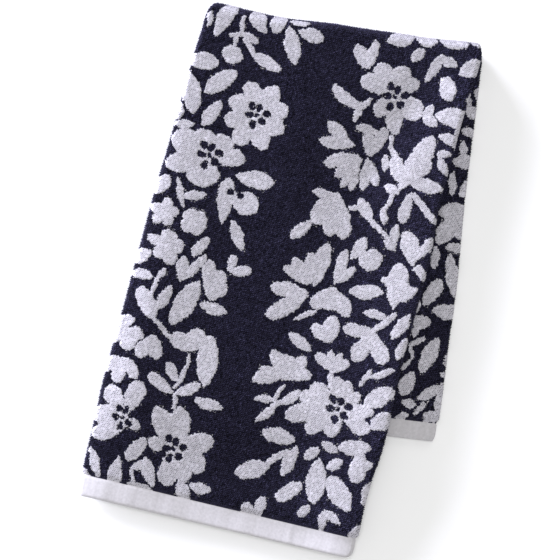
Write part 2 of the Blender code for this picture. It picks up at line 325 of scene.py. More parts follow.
LEFT_GARLAND = (
    # by the fold
    Petal(-101, 385, 80, 34, 14),
    Leaf(-109, 398, 95, 14, 5),
    Petal(-62, 400, 135, 23, 13),
    Leaf(-55, 412, 90, 20, 13),
    Leaf(-38, 415, 3, 18, 6),
    Petal(-37, 409, -12, 22, 12),
    Leaf(-38, 395, -65, 34, 13),
    Stem(-83, 409, -80, 393, -1, 4),
    Stem(-90, 389, -66, 393, 3, 4),
    Leaf(-71, 392, 0, 13, 6),
    Stem(-84, 392, -84, 380, 0, 3.5),
    Leaf(-83, 375, 0, 18, 16),
    Stem(-78, 391, -64, 379, 0, 4.5),
    Leaf(-54, 376.5, -18, 28, 11),
    Leaf(-104, 363, 5, 26, 15),
    Leaf(-86, 350, 50, 33, 15),
    Leaf(-107, 335, -66, 37, 16),
    Leaf(-86, 322, 68, 26, 12),
    Flower(-50, 330, 26, 31, 8, 25, 16, 12),
    # the large flower at the edge, and what lies round it
    Leaf(-114, 317, 90, 16, 12),
    Leaf(-105, 308, 12, 16, 8),
    Petal(-80, 288, 163, 33, 22),
    Petal(-80, 287, 118, 23, 20),
    Petal(-78, 288, 55, 22, 19),
    Petal(-78, 288, 8, 29, 15),
    Petal(-80, 286, 205, 34, 17),
    Petal(-80, 287, 272, 26, 27),
    Stamens(-79, 288, 12.5),
    Petal(-54, 277, 2, 32, 15),
    Petal(-54, 236, 97, 38, 14),
    Leaf(-40, 257, -18, 24, 19),
    Spot(-54, 263, 3),
    Spot(-46, 262, 3),
    Leaf(-40, 230, -57, 25, 10),
    Leaf(-81, 253, 18, 19, 8),
    Leaf(-93, 253, -65, 26, 5.5),
    Leaf(-109, 256, 65, 18, 13),
    Rosette(-101, 234, 90, 12, 5, 9),
    Rosette(-76, 232, 45, 11, 4, 13),
    Leaf(-66, 214, 62, 20, 9.5),
    Petal(-92, 208, 95, 13, 14),
    Petal(-92, 208, 165, 18, 8),
    Petal(-92, 208, 235, 13, 12),
    Petal(-92, 208, 298, 16, 12),
    Petal(-92, 208, 10, 14, 12),
    Leaf(-110, 195, 40, 18, 12),
    Leaf(-105, 181, 0, 18, 8.5),
    Petal(-74, 182, 98, 21, 10),
    Petal(-74, 182, 61, 30, 8),
    Petal(-49, 176, 103, 30, 12),
    Petal(-48, 176, 80, 24, 13),
    Petal(-47, 177, 50, 15, 11),
    Leaf(-47, 181, 90, 14, 13),
    Petal(-40, 200, 78, 15, 7),
    Petal(-40, 201, 10, 19, 9),
    Leaf(-43, 168, -3, 23, 10),
    Leaf(-66, 167, 72, 42, 17),
    Leaf(-83, 167, 76, 23, 9),
    Stem(-90, 188, -94, 162, -1, 4),
    Leaf(-90, 185, 70, 9, 6),
    # the leaning flower and the sprig under it
    Petal(-86, 147, 128, 30, 14),
    Petal(-86, 147, 112, 18, 9),
    Stem(-88, 149, -70, 137, 0, 4),
    Petal(-107, 135, 100, 12, 14),
    Petal(-107, 135, -10, 16, 11),
    Petal(-106, 137, -68, 19, 14),
    Petal(-107, 135, 190, 10, 12),
    Leaf(-112, 129, 90, 14, 8),
    Petal(-84, 136, -112, 22, 11),
    Petal(-84, 136, -68, 20, 12),
    Petal(-47, 132, 110, 18, 16),
    Petal(-45, 134, 172, 26, 14),
    Petal(-44, 134, 55, 14, 13),
    Leaf(-37, 126, -83, 40, 17),
    Stem(-52, 129, -57, 98, 2, 3.5),
    Leaf(-62, 111, -52, 18, 8.5),
    Petal(-56, 94, 155, 26, 10),
    Petal(-56, 94, 33, 22, 9.5),
    Stem(-56, 94, -53, 82, 1, 4),
    Leaf(-103, 108, 0, 28, 11),
    Petal(-103, 111, -88, 19, 11),
    Petal(-100, 112, -48, 18, 9),
    Petal(-106, 112, -125, 16, 9),
    Leaf(-28, 93, -5, 24, 9),
    # the two flowers by the hem
    Petal(-93, 70, 128, 24, 15),
    Petal(-90, 70, 76, 29, 15),
    Petal(-90, 66, 182, 26, 16),
    Petal(-88, 60, 205, 27, 14),
    Petal(-90, 65, -10, 14, 9),
    Leaf(-91, 66, 0, 16, 16),
    Stamens(-91, 67, 10.5),
    Leaf(-58, 69, 128, 32, 17),
    Leaf(-46, 71, 97, 31, 18),
    Petal(-42, 58, 14, 27, 16),
    Petal(-42, 52, -22, 26, 17),
    Petal(-44, 48, -50, 24, 14),
    Petal(-47, 50, -86, 28, 16),
    Petal(-50, 53, 180, 17, 11),
    Leaf(-45, 54, 0, 18, 20),
    Stamens(-46, 52, 11.5),
    Leaf(-75, 45, 60, 24, 12),
    Petal(-87, 37, -90, 26, 12),
    Leaf(-105, 28, -62, 25, 8),
    Leaf(-61, 30, -62, 24, 10),
    Leaf(-68, 34, 20, 16, 8),
    Stem(-75, 31, -71, 17, 0, 3.5),
    Stem(-76, 17, -56, 17, 1, 4),
    Leaf(-31, 21, -60, 20, 11),
    Leaf(-18, 27, 0, 18, 9),
    Leaf(-113, 17, -30, 18, 8),
)

RIGHT_GARLAND = (
    # by the fold
    Leaf(20, 398, -48, 24, 12),
    Leaf(27, 401, 88, 26, 9),
    Leaf(47, 419, 22, 24, 13),
    Leaf(68, 423, -5, 20, 12),
    Leaf(91, 425, 0, 25, 13),
    Leaf(111, 428, 0, 14, 9),
    Leaf(63, 409, 65, 14, 9.5),
    Leaf(79, 401, 75, 26, 8.5),
    Leaf(88, 408, -18, 19, 8),
    Leaf(94.5, 386, -58, 23, 13),
    Petal(99, 399, 35, 21, 15),
    Leaf(115, 381, 90, 14, 6),
    Petal(52, 374, 130, 28, 15),
    Petal(53, 374, 84, 24, 17),
    Petal(55, 374, 44, 21, 12),
    Petal(52, 374, 167, 29, 15),
    Petal(52, 374, -108, 23, 13),
    Petal(53, 374, -72, 34, 14),
    Petal(55, 370, -18, 27, 19),
    Leaf(54, 371, 0, 18, 18),
    Stamens(55, 371, 12.5),
    Stem(4, 369, 32, 357, -3, 9),
    Leaf(34.5, 360, 60, 13, 5.5),
    Leaf(29.5, 351, 85, 15, 6),
    Leaf(85.5, 363, 88, 17, 9),
    Leaf(89, 358, -28, 13, 9),
    Leaf(108, 364, 0, 34, 16),
    Leaf(109, 346, -10, 22, 9),
    Leaf(115, 353, 92, 34, 9),
    Petal(31, 325, 150, 27, 10),
    Leaf(19, 323.5, 8, 30, 11),
    Leaf(40, 340, 0, 20, 7.5),
    Petal(48, 319, 106, 20, 11),
    Petal(48, 319, 74, 27, 11),
    Stem(60, 341, 63, 328, 1, 4),
    Stem(62, 331, 73, 320, 0, 5),
    # the long flower, and the fan beside it
    Petal(78, 296, 72, 53, 17),
    Petal(80, 305, 50, 28, 13),
    Petal(78, 303, 115, 24, 12),
    Leaf(73, 297, -20, 15, 8),
    Stem(75, 293, 71, 280, 0, 4),
    Leaf(71, 274, 100, 14, 6.5),
    Leaf(106, 334, 10, 12, 7),
    Leaf(108, 324, -50, 18, 7),
    Leaf(99.5, 306, 0, 27, 12),
    Petal(89, 299, -97, 28, 9.5),
    Stem(90, 298, 117, 277, -1, 6),
    Petal(47, 318, -84, 28, 8),
    Petal(47, 318, -58, 25, 9),
    Petal(40, 317, 205, 29, 12),
    Petal(40, 318, 237, 27, 9),
    Petal(40, 316, 255, 29, 7),
    Petal(40, 317, 272, 29, 7.5),
    Leaf(33, 312, 15, 22, 12),
    Leaf(62, 317, 97, 15, 6),
    Petal(28, 284, -110, 32, 16),
    Petal(30, 284, -88, 36, 17),
    Petal(30, 284, -70, 38, 16),
    Leaf(19, 280, 0, 18, 8),
    Leaf(8, 247, 55, 23, 9.5),
    Stem(42, 274, 52, 276, 0, 4),
    Leaf(55, 276, -50, 20, 11),
    Stem(60, 269, 78, 257, 0, 4.5),
    Leaf(82, 261, 85, 18, 8),
    Leaf(80, 254, -45, 14, 9),
    Leaf(57, 244, 70, 22, 10),
    Leaf(68, 237, 25, 20, 18),
    Petal(102, 240, 112, 29, 15),
    Petal(103, 245, 65, 23, 8),
    Petal(95, 202, 95, 38, 17),
    Leaf(100, 216, 35, 24, 12),
    Leaf(92, 224, 0, 24, 11),
    Leaf(109, 236, -60, 14, 7),
    Leaf(106, 238, 0, 8, 6),
    Petal(27, 206, 105, 26, 11),
    Petal(27, 206, 138, 26, 10),
    Petal(27, 206, 160, 26, 9),
    Petal(30, 204, 88, 38, 12.5),
    Petal(45, 210, 86, 31, 9),
    Petal(44, 211, 50, 22, 8),
    Leaf(71, 211, 12, 27, 12.5),
    # the middle of the garland
    Petal(27, 199, 185, 31, 12),
    Petal(27, 197, 222, 37, 14),
    Leaf(29, 181, 35, 19, 5),
    Petal(46, 208, -125, 24, 13),
    Petal(46, 208, -88, 19, 16),
    Petal(46, 208, -50, 26, 12),
    Petal(54, 163, 98, 23, 13),
    Petal(55, 165, 152, 21, 11),
    Leaf(52, 172, 90, 18, 11),
    Leaf(31, 159, -28, 23, 9.5),
    Petal(84, 179, 182, 23, 11),
    Petal(84, 178, 250, 25, 14),
    Petal(84, 178, -50, 26, 14),
    Leaf(80, 178, -15, 26, 11),
    Leaf(83, 195, 3, 19, 7.5),
    Stem(85, 182, 99, 199, 0, 5.5),
    Leaf(105, 190, 68, 25, 9.5),
    Leaf(110, 173, 80, 20, 7.5),
    Leaf(88, 143, 70, 17, 5),
    Leaf(100, 149.5, 30, 23, 6),
    Leaf(102, 131, 40, 27, 15),
    Petal(60, 142, 140, 19, 8),
    Petal(60, 142, 104, 17, 7),
    Petal(60, 142, 72, 17, 7),
    Petal(60, 142, 40, 17, 8),
    Stem(61, 143, 62, 128, 0, 4.5),
    Petal(26, 130, 130, 23, 11),
    Petal(26, 130, 92, 17, 14),
    Petal(26, 130, 55, 22, 11),
    Petal(26, 130, 16, 21, 10),
    Petal(29, 134, 205, 31, 12),
    Leaf(19, 130, 0, 30, 10),
    Leaf(14, 108, 12, 17, 6.5),
    Leaf(34, 114, 50, 20, 8),
    Leaf(18, 97, 55, 21, 7),
    Stem(22, 107, 28, 122, 2, 3.5),
    Stem(20, 103, 31, 111, 0, 4.5),
    # the flower and the leaves by the hem
    Petal(71, 116, 101, 24, 12),
    Petal(73, 116, 80, 22, 10),
    Petal(73, 116, 45, 20, 10),
    Petal(74, 114, 8, 26, 12),
    Petal(73, 112, -22, 29, 13),
    Petal(71, 112, -92, 21, 14),
    Petal(69, 114, -125, 29, 14),
    Petal(68, 114, -157, 39, 15),
    Petal(68, 115, 176, 28, 15),
    Petal(69, 115, 148, 26, 14),
    Leaf(71, 113, 0, 26, 20),
    Stamens(72, 114, 12),
    Petal(99, 105, 42, 20, 14),
    Leaf(32, 82, -3, 28, 12.5),
    Leaf(61, 75, 50, 14, 9.5),
    Leaf(73.5, 83, -15, 15, 8),
    Leaf(92, 87, 10, 26, 13),
    Petal(97, 88, -80, 29, 14),
    Petal(98, 75, 5, 12, 8),
    Leaf(81.5, 70.5, 45, 13, 10),
    Leaf(46, 64.5, 80, 26, 10.5),
    Stem(43, 73, 28, 57, 0, 5.5),
    Leaf(19, 51, 25, 28, 15),
    Leaf(52, 41, 45, 25, 12.5),
    Leaf(71, 53.5, -82, 37, 16),
    Leaf(91, 49, -45, 33, 17),
    Leaf(67, 29, 58, 13, 8),
    Petal(30, 14, 142, 15, 10),
    Petal(31, 14, 85, 19, 9),
    Petal(83, 15, 90, 18, 7),
    Leaf(90, 29, -30, 18, 7),
    Leaf(112, 54, 90, 20, 7),
    Leaf(110, 20, 60, 19, 8),
)

# The back half where it shows beside the front: x is across the strip, y is minus the way from
# the fold.
BACK_GARLAND = (
    Leaf(114, -47, 75, 12, 7),
    Leaf(107, -57, 100, 14, 5),
    Leaf(112, -63, 20, 14, 9.5),
    Leaf(111, -79, 0, 16, 8),
    Leaf(107, -93, 95, 13, 7),
    Leaf(110, -103, 0, 20, 12),
    Leaf(102, -121, -85, 20, 6.5),
    Leaf(113, -124, 70, 16, 9),
    Leaf(107, -145, 0, 27, 18),
    Leaf(101, -160, 60, 26, 15),
    Leaf(111, -157, 0, 20, 16),
    Leaf(110, -173, 5, 17, 8.5),
    Leaf(94, -183, 88, 20, 7),
    Leaf(109, -196, -78, 36, 10.5),
    Leaf(95, -211, 62, 26, 12),
    Leaf(108, -225.5, 0, 23, 12.5),
    Leaf(89, -236, 5, 16, 11),
    Leaf(86, -243, 80, 14, 6),
    Stem(85, -219, 84, -229, 0, 3),
    Stem(94, -248, 82, -257, 0, 4),
    Stem(83, -256, 85, -268, 1, 3.5),
    Stem(85, -268, 78, -276, 0, 3.5),
    Leaf(99, -262, 70, 31, 12.5),
    Leaf(114, -264, 90, 13, 7),
    Leaf(84, -287, 72, 21, 12.5),
    Leaf(103, -292, 35, 21, 9),
    Leaf(112, -300, 90, 34, 7.5),
    Leaf(88, -302.5, -15, 12, 7.5),
    Stem(93, -311, 101, -300, 0, 4),
    Leaf(107, -311, -20, 14, 9),
    Leaf(85, -313, 20, 9, 7),
    Leaf(73, -208, 60, 24, 14),
    Leaf(72, -240, 40, 22, 12),
    Leaf(66, -285, 70, 24, 13),
)

POINTED, ROUND, BLUNT = 0.62, 0.5, 0.15
EVEN, FORWARD = 1.0, 1.45
# The dark marks in a flower: how far out each ends, how far round they start, how far each sways
# off its place, and how long and wide they are. Lengths are shares of the flower's own reach.
STAMEN_REACHES = (1.0, 0.84, 1.06, 0.82, 1.0, 0.92)
STAMEN_TURN = 15
STAMEN_SWAY = 8
STAMEN_LENGTH = 0.62
STAMEN_WIDTH = 0.5

# The garlands' next copies, on the cloth that is turned under
NEXT_ACROSS = 240
NEXT_ALONG = 425

# The window of the back half that shows, in which BACK_GARLAND takes the place of a copy
SHOWN_BACK_U = (98, 185)
SHOWN_BACK_ALONG = 434
BACK_EDGE_U = 227.2  # the u that the middle of the back half's upper layer would have
FOLD_ALONG = 427.2

# How the weave draws a shape's outline out of true, sideways to each heading
WOBBLES = (
    Wave(10, 17, 0.4, 0.4),
    Wave(95, 14, 0.4, 2.2),
    Wave(50, 5.5, 0.25, 4.6),
    Wave(140, 6.5, 0.25, 1.1),
    Wave(22, 2.7, 0.22, 3.3),
    Wave(112, 2.4, 0.22, 0.9),
)


def round_blade(x, y, radius):
    return Blade(x - radius, y, 0, 2 * radius, 2 * radius, EVEN, ROUND, 0)


def petals(x, y, headings, reaches, width):
    return [
        Blade(x, y, heading, reach, width, FORWARD, ROUND, 0)
        for heading, reach in zip(headings, reaches)
    ]


def stamens(x, y, reach):
    """Dark marks that stand round a flower's middle, with a small one in it."""
    length, width = reach * STAMEN_LENGTH, reach * STAMEN_WIDTH
    marks = [round_blade(x, y, width / 3)]
    for i, share in enumerate(STAMEN_REACHES):
        heading = STAMEN_TURN + 360 / len(STAMEN_REACHES) * i + STAMEN_SWAY * (-1) ** (i // 2)
        turn = math.radians(heading)
        root = reach * share - length
        start_x, start_y = x + root * math.cos(turn), y + root * math.sin(turn)
        marks.append(Blade(start_x, start_y, heading, length, width, EVEN, ROUND, 0))
    return marks


def shapes_of(motif):
    """The pale blades and the dark blades that one row of a garland stands for."""
    if isinstance(motif, Leaf):
        x = motif.x - motif.length / 2 * math.cos(math.radians(motif.heading))
        y = motif.y - motif.length / 2 * math.sin(math.radians(motif.heading))
        return [Blade(x, y, motif.heading, motif.length, motif.width, EVEN, POINTED, 0)], []
    if isinstance(motif, Petal):
        return petals(motif.x, motif.y, [motif.heading], [motif.length], motif.width), []
    if isinstance(motif, Stem):
        run_x, run_y = motif.x1 - motif.x0, motif.y1 - motif.y0
        heading = math.degrees(math.atan2(run_y, run_x))
        length = math.hypot(run_x, run_y)
        return [Blade(motif.x0, motif.y0, heading, length, motif.width, EVEN, BLUNT, motif.bulge)], []
    if isinstance(motif, Stamens):
        return [], stamens(motif.x, motif.y, motif.reach)
    if isinstance(motif, Spot):
        return [], [round_blade(motif.x, motif.y, motif.radius)]
    headings = motif.heading + 360 / motif.count * np.arange(motif.count)
    if isinstance(motif, Rosette):
        return petals(motif.x, motif.y, headings, [motif.reach] * motif.count, motif.width), []
    turn = np.radians(headings)
    reaches = 1 / np.hypot(np.cos(turn) / motif.reach_x, np.sin(turn) / motif.reach_y)
    disc = round_blade(motif.x, motif.y, min(motif.reach_x, motif.reach_y) / 2)
    blades = petals(motif.x, motif.y, headings, reaches, motif.width) + [disc]
    return blades, stamens(motif.x, motif.y, motif.stamens)


def garland(motifs):
    """The pale blades and the dark blades of a whole table."""
    blades, marks = [], []
    for motif in motifs:
        found = shapes_of(motif)
        blades += found[0]
        marks += found[1]
    return blades, marks


def covered(blades, x, y):
    """Whether the points are on a blade."""
    on = np.zeros(len(x), bool)
    for blade in blades:
        reach = blade.length + abs(blade.bulge) + blade.width / 2
        near = np.flatnonzero((np.abs(x - blade.x) < reach) & (np.abs(y - blade.y) < reach))
        if not len(near):
            continue
        heading = math.radians(blade.heading)
        away_x, away_y = x[near] - blade.x, y[near] - blade.y
        share = (away_x * math.cos(heading) + away_y * math.sin(heading)) / blade.length
        inside = np.clip(share, 0, 1)
        sideways = away_y * math.cos(heading) - away_x * math.sin(heading)
        sideways = sideways - 4 * blade.bulge * inside * (1 - inside)
        half_width = blade.width / 2 * np.sin(math.pi * inside**blade.swell) ** blade.point
        on[near] |= (share == inside) & (np.abs(sideways) < half_width)
    return on


def is_pale(blades, marks, x, y):
    """Whether the points are on a pale blade and off every dark one."""
    return covered(blades, x, y) & ~covered(marks, x, y)


def in_shown_back(blade, across, ahead):
    """Whether a blade that is copied so far across and ahead starts where the back half shows."""
    u, along = blade.x + across, blade.y + ahead
    return (SHOWN_BACK_U[0] < u < SHOWN_BACK_U[1]) and along > SHOWN_BACK_ALONG


def pattern(u, along):
    """Whether the face of the cloth is pale, and not navy, at points in metres."""
    x, y = u.ravel() / MM, along.ravel() / MM
    for wobble in WOBBLES:
        shift = wobble.size * wave(wobble, u.ravel(), along.ravel())
        x -= shift * math.sin(math.radians(wobble.heading))
        y += shift * math.cos(math.radians(wobble.heading))
    on = np.zeros(len(x), bool)
    blades, marks = garland(LEFT_GARLAND + RIGHT_GARLAND)
    for across in (-NEXT_ACROSS, 0, NEXT_ACROSS):
        for ahead in (0, NEXT_ALONG):
            kept = [blade for blade in blades if not in_shown_back(blade, across, ahead)]
            kept_marks = [mark for mark in marks if not in_shown_back(mark, across, ahead)]
            on |= is_pale(kept, kept_marks, x - across, y - ahead)
    blades, marks = garland(BACK_GARLAND)
    shown = (y > SHOWN_BACK_ALONG) & (x > SHOWN_BACK_U[0])
    on[shown] |= is_pale(blades, marks, BACK_EDGE_U - x[shown], FOLD_ALONG - y[shown])
    return on.reshape(u.shape)


# ---- Materials ----

NAVY = (0.0128, 0.0120, 0.0245, 1)
PALE = (0.492, 0.479, 0.529, 1)
HEM_COLOUR = (0.495, 0.481, 0.502, 1)
FLOOR_COLOUR = (0.93, 0.93, 0.93, 1)
SHEEN_ROUGHNESS = 0.6

# A grain's scale is about how many of its specks lie in a metre.
Grain = collections.namedtuple("Grain", "scale detail")
FIBRES = Grain(scale=1250, detail=1.0)
FIBRE_BUMPS = Grain(scale=1600, detail=2.0)
THREADS = Grain(scale=500, detail=5.0)
THREAD_BUMPS = Grain(scale=1500, detail=3.0)
CREASES = Grain(scale=230, detail=5.0)
GRAIN_MEAN = 0.5

NAVY_FIBRES, PALE_FIBRES = 1.15, 0.55  # how strongly the fibres show on each yarn
WEAVE_DARKEST = 0.7  # the tone of the ground weave, before its threads and the creases' painted light lighten it
THREADS_LIGHTEN = 0.4
CREASES_PAINTED_LIGHT = 0.2
CREASES_RISE = 1.5  # how high the creases stand, against the threads


def new_material(name, roughness, sheen, specular):
    material = bpy.data.materials.new(name)
    material.use_nodes = True
    shader = material.node_tree.nodes["Principled BSDF"]
    shader.inputs["Roughness"].default_value = roughness
    shader.inputs["Specular IOR Level"].default_value = specular
    shader.inputs["Sheen Weight"].default_value = sheen
    shader.inputs["Sheen Roughness"].default_value = SHEEN_ROUGHNESS
    return material, material.node_tree, shader


def add_node(tree, kind, **settings):
    node = tree.nodes.new(kind)
    for name, value in settings.items():
        setattr(node, name, value)
    return node


def attribute_value(tree, name):
    return add_node(tree, "ShaderNodeAttribute", attribute_name=name).outputs["Fac"]


def calculation(tree, operation, *values):
    """Calculates with numbers and sockets. MULTIPLY_ADD adds the third to the others' product."""
    node = add_node(tree, "ShaderNodeMath", operation=operation)
    for socket, value in zip(node.inputs, values):
        if isinstance(value, (int, float)):
            socket.default_value = value
        else:
            tree.links.new(value, socket)
    return node.outputs[0]


def colour_between(tree, share, first, second):
    node = add_node(tree, "ShaderNodeMix", data_type="RGBA")
    # The node's sockets for colours come after those for numbers and for vectors.
    first_colour, second_colour, result = node.inputs[6], node.inputs[7], node.outputs[2]
    tree.links.new(share, node.inputs["Factor"])
    first_colour.default_value = first
    second_colour.default_value = second
    return result


def scaled_colour(tree, colour, scale):
    node = add_node(tree, "ShaderNodeVectorMath", operation="SCALE")
    tree.links.new(colour, node.inputs[0])
    tree.links.new(scale, node.inputs["Scale"])
    return node.outputs[0]


def add_noise(tree, grain, dimensions, source, socket):
    node = add_node(tree, "ShaderNodeTexNoise", noise_dimensions=dimensions)
    node.inputs["Scale"].default_value = grain.scale
    node.inputs["Detail"].default_value = grain.detail
    tree.links.new(source, node.inputs[socket])
    return node.outputs["Fac"]


def noise(tree, grain):
    coordinates = add_node(tree, "ShaderNodeTexCoord").outputs["Object"]
    return add_noise(tree, grain, "3D", coordinates, "Vector")


def streaks(tree, name, grain):
    """Noise along one number of the surface, and so in streaks across it."""
    return add_noise(tree, grain, "1D", attribute_value(tree, name), "W")


def add_bump(tree, shader, height, strength, distance):
    bump = add_node(tree, "ShaderNodeBump")
    bump.inputs["Strength"].default_value = strength
    bump.inputs["Distance"].default_value = distance
    tree.links.new(height, bump.inputs["Height"])
    tree.links.new(bump.outputs["Normal"], shader.inputs["Normal"])


def pile_material():
    """Cotton loops: each its own tone, with fibres on it, painted shade down between the loops and
    painted highlights on their tops.
    """
    material, tree, shader = new_material("terry_pile", roughness=1.0, sheen=0.01, specular=0.05)
    pale = attribute_value(tree, "pale")
    strength = calculation(tree, "MULTIPLY_ADD", pale, PALE_FIBRES - NAVY_FIBRES, NAVY_FIBRES)
    fibres = calculation(tree, "SUBTRACT", noise(tree, FIBRES), GRAIN_MEAN)
    fibres = calculation(tree, "MULTIPLY_ADD", fibres, strength, 1)
    # The shade attribute holds the loops' painted highlights and painted shade, with each loop's own
    # tone
    shade = calculation(tree, "MULTIPLY", attribute_value(tree, "shade"), fibres)
    dyed = colour_between(tree, pale, NAVY, PALE)
    tree.links.new(scaled_colour(tree, dyed, shade), shader.inputs["Base Color"])
    add_bump(tree, shader, noise(tree, FIBRE_BUMPS), strength=0.5, distance=0.25 * MM)
    return material


def cloth_material():
    """The ground weave: pale hems with fine creases, which are bumps and also painted light and shade
    in streaks, and the pattern's colours between them.
    """
    material, tree, shader = new_material("towel_weave", roughness=0.9, sheen=0.05, specular=0.15)
    creases = streaks(tree, "across", CREASES)
    tone = calculation(tree, "MULTIPLY_ADD", noise(tree, THREADS), THREADS_LIGHTEN, WEAVE_DARKEST)
    # The creases' painted light and shade: lighter and darker streaks across the weave
    tone = calculation(tree, "MULTIPLY_ADD", creases, CREASES_PAINTED_LIGHT, tone)
    dyed = colour_between(tree, attribute_value(tree, "pale"), NAVY, HEM_COLOUR)
    tree.links.new(scaled_colour(tree, dyed, tone), shader.inputs["Base Color"])
    relief = calculation(tree, "MULTIPLY_ADD", creases, CREASES_RISE, noise(tree, THREAD_BUMPS))
    add_bump(tree, shader, relief, strength=0.35, distance=0.2 * MM)
    return material


def floor_material():
    material, _, shader = new_material("floor_paper", roughness=1.0, sheen=0, specular=0.1)
    shader.inputs["Base Color"].default_value = FLOOR_COLOUR
    return material


# ---- Meshes ----

UV_NAME = "OFBake"


def quads(row_count, column_count):
    """The faces over a grid of points. They face up where its columns run to +X, its rows to +Y."""
    index = np.arange(row_count * column_count).reshape(row_count, column_count)
    corners = [index[:-1, :-1], index[:-1, 1:], index[1:, 1:], index[1:, :-1]]
    return np.stack(corners, axis=-1).reshape(-1, 4)


def face_middles(grid):
    """A grid's values at the middle of each face."""
    return (grid[:-1, :-1] + grid[1:, 1:]) / 2


def add_mesh(name, points, faces, material):
    mesh = bpy.data.meshes.new(name)
    mesh.vertices.add(len(points))
    mesh.vertices.foreach_set("co", points.astype(np.float32).ravel())
    mesh.loops.add(faces.size)
    mesh.loops.foreach_set("vertex_index", faces.astype(np.int32).ravel())
    mesh.polygons.add(len(faces))
    mesh.polygons.foreach_set("loop_start", np.arange(0, faces.size, 4, dtype=np.int32))
    mesh.update(calc_edges=True)
    mesh.materials.append(material)
    mesh.shade_smooth()
    piece = bpy.data.objects.new(name, mesh)
    bpy.context.scene.collection.objects.link(piece)
    return piece


def set_attribute(piece, name, domain, values):
    attribute = piece.data.attributes.new(name, "FLOAT", domain)
    attribute.data.foreach_set("value", values.astype(np.float32).ravel())


def set_uv(piece, faces, u, along):
    """Lays the cloth's own flat coordinates over the unit square."""
    flat = np.stack([u.ravel(), along.ravel()], axis=-1)
    lowest = flat.min(axis=0)
    flat = (flat - lowest) / (flat.max(axis=0) - lowest)
    layer = piece.data.uv_layers.new(name=UV_NAME)
    layer.data.foreach_set("uv", flat[faces.ravel()].astype(np.float32).ravel())


# ---- The cloth: one closed sheet, over which the pile stands ----

GROUND_HALF = 0.6 * MM  # the ground weave under the pile, from the cloth's middle
HEM_EDGE = 2.4 * MM  # the length over which the hem's edge is rounded
HEM_EDGE_LEAST = 0.3  # the share of its thickness that the hem has at the very edge
HEM_THINS = 2 * MM  # how far before its inner edge the hem starts to get thinner
HEM_THINNING = 1.5 * MM
PILE_LAP = 0.6 * MM  # how far the pile starts before a hem's inner edge
PUCKERS = (
    Wave(0, 19, 0.07, 0.7),
    Wave(0, 31, 0.084, 2.9),
    Wave(0, 11, 0.035, 5.0),
)

# How close the sheet's columns lie, on the strip's flat middle, its turned sides and its flaps
FLAT_STEP = 3.4 * MM
TURN_STEP = 0.8 * MM
FLAP_STEP = 3.6 * MM
TURN_BEFORE = 8 * MM  # how far inside the strip's edge the close columns start
TURN_SPAN = 14 * MM

# How close its rows lie, in general, by the fold, and on a hem's edge, middle and inner edge
LENGTH_STEP = 4.2 * MM
FOLD_STEP = 1.9 * MM
FOLD_BEFORE = 14 * MM  # how far before the fold and past it the close rows reach
FOLD_PAST = 24 * MM
HEM_EDGE_STEP = 0.25 * MM
HEM_STEP = 1.6 * MM
HEM_INNER_STEP = 0.75 * MM

UV_SIDES_APART = 1.05  # in cloth widths, from the face's place in the UV map to the reverse's


def spaced(start, end, step):
    """Even values from start to end, about a step apart."""
    return np.linspace(start, end, max(1, round((end - start) / step)) + 1)


def joined(*stretches):
    """All the stretches' values in order, each of them once."""
    return np.unique(np.round(np.concatenate(stretches), 7))


def cloth_half_thickness(u, along):
    """Half the sheet's thickness: full at the hems, thin under the pile, rounded at the ends."""
    from_end = np.minimum(along, CLOTH_LENGTH - along)
    hem = 1 - smooth((past_hem(along) + HEM_THINS) / HEM_THINNING)
    pucker = sum(row.size * MM * wave(row, u, along) for row in PUCKERS)
    half = GROUND_HALF + (HEM_THICK / 2 + pucker - GROUND_HALF) * hem
    rounding = np.sqrt(1 - (1 - np.clip(from_end / HEM_EDGE, 0, 1)) ** 2)
    return half * np.maximum(rounding, HEM_EDGE_LEAST)


def sheet_columns():
    turned = STRIP_WIDTH / 2 - TURN_BEFORE
    flat = spaced(0, turned, FLAT_STEP)
    turn = spaced(turned, turned + TURN_SPAN, TURN_STEP)
    flap = spaced(turned + TURN_SPAN, CLOTH_WIDTH / 2, FLAP_STEP)
    one_side = joined(flat, turn, flap)
    return np.concatenate([-one_side[:0:-1], one_side])


def hem_rows(width):
    """How far each row of a hem, and of the start of the terry, is from the cloth's end."""
    return joined(
        spaced(0, HEM_EDGE, HEM_EDGE_STEP),
        spaced(HEM_EDGE, width - HEM_THINS, HEM_STEP),
        spaced(width - HEM_THINS, width + PILE_END, HEM_INNER_STEP),
    )


def sheet_rows():
    front_hem = hem_rows(FRONT_HEM_WIDTH)
    back_hem = CLOTH_LENGTH - hem_rows(BACK_HEM_WIDTH)
    fold = spaced(FRONT_LENGTH - FOLD_BEFORE, FRONT_LENGTH + FOLD_PAST, FOLD_STEP)
    front = spaced(front_hem[-1], fold[0], LENGTH_STEP)
    back = spaced(fold[-1], back_hem[-1], LENGTH_STEP)
    return joined(front_hem, front, fold, back, back_hem)


def build_cloth(material):
    along, u = np.meshgrid(sheet_rows(), sheet_columns(), indexing="ij")
    half = cloth_half_thickness(u, along)
    face, reverse = cloth_points(u, along, half), cloth_points(u, along, -half)
    points = np.stack([face, reverse]).reshape(-1, 3)
    over = quads(*u.shape)
    size = u.size
    index = np.arange(size).reshape(u.shape)
    rim = np.concatenate([index[0, :-1], index[:-1, -1], index[-1, :0:-1], index[:0:-1, 0]])
    following = np.roll(rim, -1)
    edges = np.stack([following, rim, rim + size, following + size], axis=-1)
    faces = np.concatenate([over, over[:, ::-1] + size, edges])
    piece = add_mesh("towel_cloth", points, faces, material)

    middle_u, middle_along = face_middles(u).ravel(), face_middles(along).ravel()
    on_hem = past_hem(middle_along) < -PILE_LAP
    drawn = pattern(middle_u, middle_along)
    face_pale = np.where(on_hem, 1, drawn)
    reverse_pale = np.where(on_hem, 1, 1 - drawn)
    set_attribute(piece, "pale", "FACE", np.concatenate([face_pale, reverse_pale, np.ones(len(edges))]))
    set_attribute(piece, "across", "POINT", np.stack([u, u]))
    both_u = np.stack([u, u + UV_SIDES_APART * CLOTH_WIDTH])
    set_uv(piece, faces, both_u, np.stack([along, along]))
    return piece


